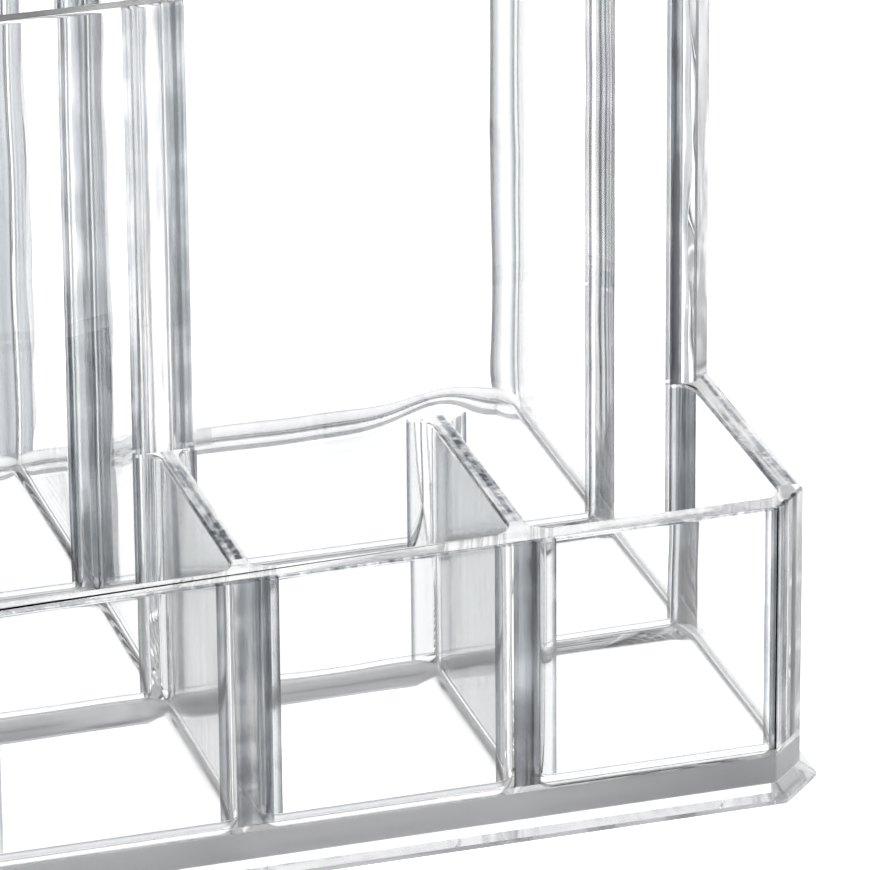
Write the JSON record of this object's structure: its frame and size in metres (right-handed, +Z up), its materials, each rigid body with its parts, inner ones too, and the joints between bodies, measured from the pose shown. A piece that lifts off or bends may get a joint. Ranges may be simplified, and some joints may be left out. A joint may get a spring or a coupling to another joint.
{
  "type": "cosmetic organiser",
  "caption": "Clear plastic make-up organiser: a low row of small open cells in front of a tall block of wide open cells, on a base tray with a flared skirt.",
  "frame": {"origin": "middle of the footprint, on the table under the skirt", "axes": "+X to the right along the front wall, +Y from the front cells to the back wall, +Z up"},
  "size_m": [0.1218, 0.1024, 0.082],
  "materials": {
    "clear_wall": "clear, polished, faintly wavy from moulding",
    "clear_base": "clear, polished, faintly grey through its edges"
  },
  "bodies": {
    "root": {"base_tray": "clear_base", "front_wall": "clear_wall", "step_wall": "clear_wall", "back_wall": "clear_wall", "centre_spine": "clear_wall", "left_front_side_wall": "clear_wall", "right_front_side_wall": "clear_wall", "left_rear_side_wall": "clear_wall", "right_rear_side_wall": "clear_wall", "left_mid_wall": "clear_wall", "right_mid_wall": "clear_wall", "left_front_divider": "clear_wall", "centre_front_divider": "clear_wall", "right_front_divider": "clear_wall"}
  },
  "joints": []
}
